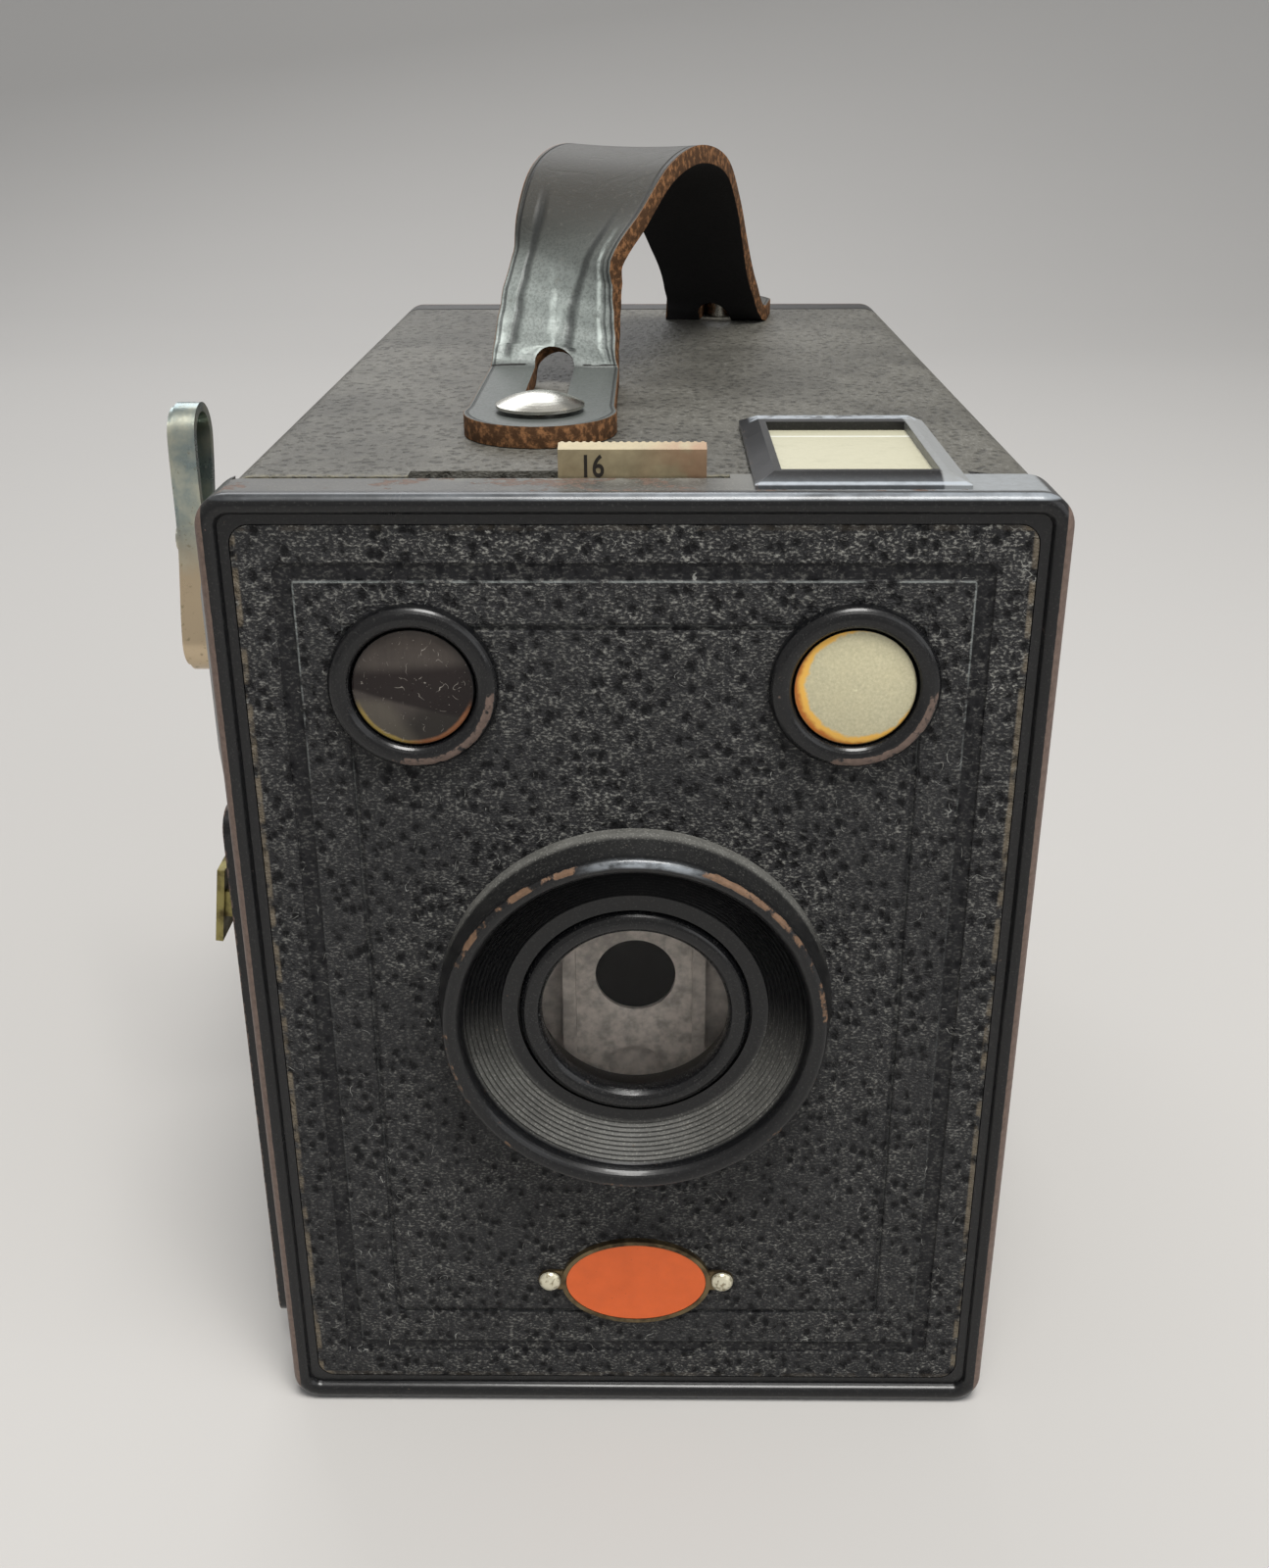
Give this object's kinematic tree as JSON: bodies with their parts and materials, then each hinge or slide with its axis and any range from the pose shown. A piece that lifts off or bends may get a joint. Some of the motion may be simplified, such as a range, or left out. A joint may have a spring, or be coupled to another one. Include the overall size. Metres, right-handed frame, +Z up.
{
  "type": "box camera",
  "caption": "Upright box camera for roll film with a fixed lens, two reflecting finders, a lever-worked disc shutter, a winding key, a hinged back and a leather carrying strap.",
  "frame": {"origin": "centre of the base, on the surface that the camera stands on", "axes": "+X to the right as the lens is faced, +Y from the lens towards the back, +Z up; the lens looks along -Y"},
  "size_m": [0.0984, 0.1349, 0.134],
  "materials": {
    "black_enamel": "gloss black enamel, worn at the edges",
    "black_sheet": "matt black paint on steel",
    "leatherette": "pebble-grained black leatherette",
    "cover_plain": "worn black leatherette",
    "glass": "clear glass",
    "lens_glass": "polished lens glass",
    "frosted": "ground glass",
    "silvered": "silvered glass",
    "badge_metal": "darkened brass",
    "enamel": "orange-red enamel",
    "pale_pins": "pale nickel plate",
    "nickel": "nickel plate, dulled",
    "brass": "plain brass",
    "steel": "plain steel",
    "spring_steel": "spring wire",
    "blued": "blackened steel",
    "carrier": "black painted steel",
    "spool": "black painted steel",
    "red_glass": "red celluloid",
    "leather": "creased dark leather"
  },
  "bodies": {
    "camera": {"front_cap": "black_enamel", "front_covering": "leatherette", "lens_ring": "black_enamel", "glass_ring": "black_enamel", "front_glass": "glass", "finder_ring_left": "black_enamel", "finder_ring_right": "black_enamel", "finder_lens_left": "lens_glass", "finder_lens_right": "lens_glass", "finder_housing_side": "black_sheet", "finder_housing_top": "black_sheet", "finder_mirror_side": "silvered", "finder_mirror_top": "silvered", "finder_frame_side": "black_enamel", "finder_frame_top": "black_enamel", "finder_window_side": "frosted", "finder_window_top": "frosted", "badge_plate": "badge_metal", "badge_enamel": "enamel", "badge_pins": "pale_pins", "shutter_board": "black_sheet", "mechanism_plate": "steel", "mechanism_pillars": "brass", "slide_rails": "steel", "time_slide_guide": "steel", "lever_pivot": "brass", "disc_pivot": "brass", "spring_post": "brass", "return_spring": "spring_steel", "lever_guard": "black_enamel", "lens_cell": "black_sheet", "meniscus_lens": "lens_glass", "lens_retainer": "black_sheet", "body_shell": "black_sheet", "body_covering": "cover_plain", "light_trap_frame": "black_sheet", "carrier_sides": "carrier", "light_cone": "carrier", "film_gate": "carrier", "spool_pins": "steel", "key_bush": "nickel", "body_hinge": "steel", "strap": "leather", "strap_studs": "nickel", "tripod_sockets": "nickel"},
    "takeup": {"takeup_spool": "spool"},
    "key": {"winding_key": "nickel"},
    "supply": {"supply_spool": "spool"},
    "upper_roller": {"roller_top": "steel"},
    "lower_roller": {"roller_bottom": "steel"},
    "aperture": {"aperture_slide": "brass"},
    "time": {"time_slide": "brass"},
    "release": {"release_lever": "brass"},
    "disc": {"shutter_disc": "blued"},
    "door": {"rear_door": "black_enamel", "door_covering": "cover_plain", "door_hinge": "steel", "red_window": "red_glass", "red_window_ring": "black_enamel"},
    "catch": {"door_catch": "nickel"}
  },
  "joints": [
    {"name": "takeup_spin", "type": "hinge", "parent": "camera", "child": "takeup", "pos_m": [0, -0.015, 0.09], "axis": [-1, 0, 0], "continuous": true},
    {"name": "key_pull", "type": "slide", "parent": "takeup", "child": "key", "axis": [-1, 0, 0], "range_m": [0, 0.0045]},
    {"name": "supply_spin", "type": "hinge", "parent": "camera", "child": "supply", "pos_m": [0, -0.015, 0.018], "axis": [-1, 0, 0], "continuous": true},
    {"name": "roller_top_spin", "type": "hinge", "parent": "camera", "child": "upper_roller", "pos_m": [0, 0.0535, 0.101], "axis": [-1, 0, 0], "continuous": true},
    {"name": "roller_bottom_spin", "type": "hinge", "parent": "camera", "child": "lower_roller", "pos_m": [0, 0.0535, 0.007], "axis": [-1, 0, 0], "continuous": true},
    {"name": "aperture_pull", "type": "slide", "parent": "camera", "child": "aperture", "axis": [0, 0, 1], "range_m": [0, 0.012]},
    {"name": "time_pull", "type": "slide", "parent": "camera", "child": "time", "axis": [0, 0, 1], "range_m": [0, 0.005]},
    {"name": "release_press", "type": "hinge", "parent": "camera", "child": "release", "pos_m": [-0.0105, -0.0557, 0.057], "axis": [0, -1, 0], "range_deg": [0, 14.3], "stiffness_Nm_per_rad": 0.06, "springref_deg": -5.73, "deforming": ["return_spring"]},
    {"name": "shutter_turn", "type": "hinge", "parent": "camera", "child": "disc", "pos_m": [0.003, -0.0547, 0.067], "axis": [0, -1, 0], "range_deg": [-86, 0]},
    {"name": "door_swing", "type": "hinge", "parent": "camera", "child": "door", "pos_m": [0, 0.0582, 0.0016], "axis": [-1, 0, 0], "range_deg": [0, 95]},
    {"name": "catch_turn", "type": "hinge", "parent": "camera", "child": "catch", "pos_m": [0.0395, 0.0438, 0.096], "axis": [-1, 0, 0], "range_deg": [0, 35]}
  ],
  "couplings": [
    {"joint": "shutter_turn", "follows": "release_press", "ratio": -6}
  ]
}
